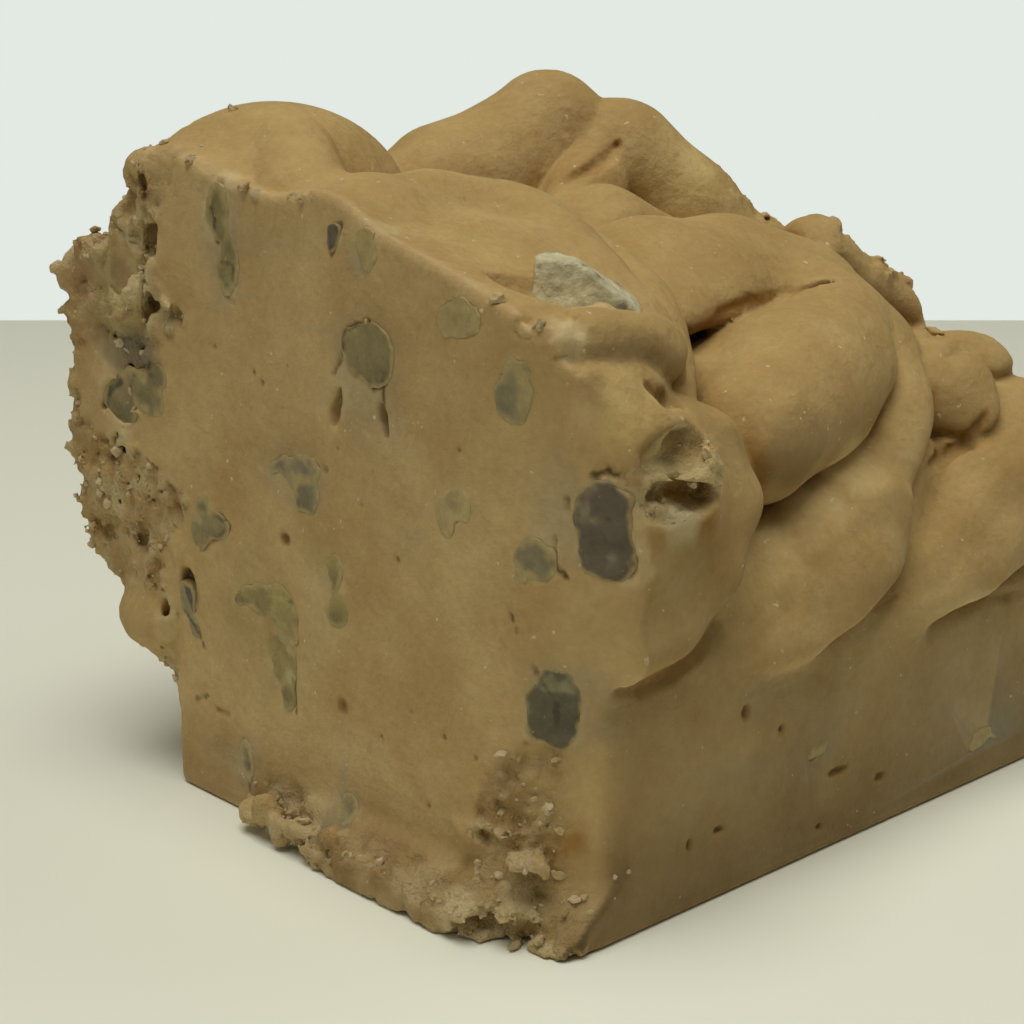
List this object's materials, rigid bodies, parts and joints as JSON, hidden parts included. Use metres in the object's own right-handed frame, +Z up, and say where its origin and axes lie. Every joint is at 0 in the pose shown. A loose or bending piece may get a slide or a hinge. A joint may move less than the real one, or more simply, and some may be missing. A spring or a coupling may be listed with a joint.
{
  "type": "walnut penuche fudge slab",
  "caption": "Thick knife-cut slab of walnut penuche fudge with ladled folds on top, a smooth moulded wall and walnut pieces in the cut faces.",
  "frame": {"origin": "bottom centre of the bounding box, on the plane that the base stands on", "axes": "+X along the loaf, away from the cut face that shows most walnuts; +Y across, from the smooth moulded wall to the overhanging free side; +Z up"},
  "size_m": [0.0858, 0.0832, 0.0766],
  "materials": {
    "penuche": "waxy tan fudge, dense and opaque, with a soft sheen and crumbly breaks",
    "walnut": "dull grey-green walnut flesh with thin dark brown skin"
  },
  "bodies": {
    "root": {"fudge": "penuche", "walnut_near_top_left": "walnut", "walnut_near_top_edge": "walnut", "walnut_near_top_small": "walnut", "walnut_near_top_right": "walnut", "walnut_near_upper_centre": "walnut", "walnut_near_upper_right": "walnut", "walnut_near_upper_far_left": "walnut", "walnut_near_left": "walnut", "walnut_near_centre_left": "walnut", "walnut_near_centre_right": "walnut", "walnut_near_corner": "walnut", "walnut_near_right": "walnut", "walnut_near_lower_left": "walnut", "walnut_near_lower_far_left": "walnut", "walnut_near_lower_large": "walnut", "walnut_near_lower_centre": "walnut", "walnut_near_lower_right": "walnut", "walnut_near_base_left": "walnut", "walnut_near_base_centre": "walnut", "walnut_far_high": "walnut", "walnut_far_middle": "walnut", "walnut_far_low_left": "walnut", "walnut_far_low_right": "walnut", "walnut_far_wall_side": "walnut", "walnut_wall_right": "walnut", "walnut_wall_small": "walnut", "walnut_side": "walnut", "walnut_proud": "walnut"}
  },
  "joints": []
}
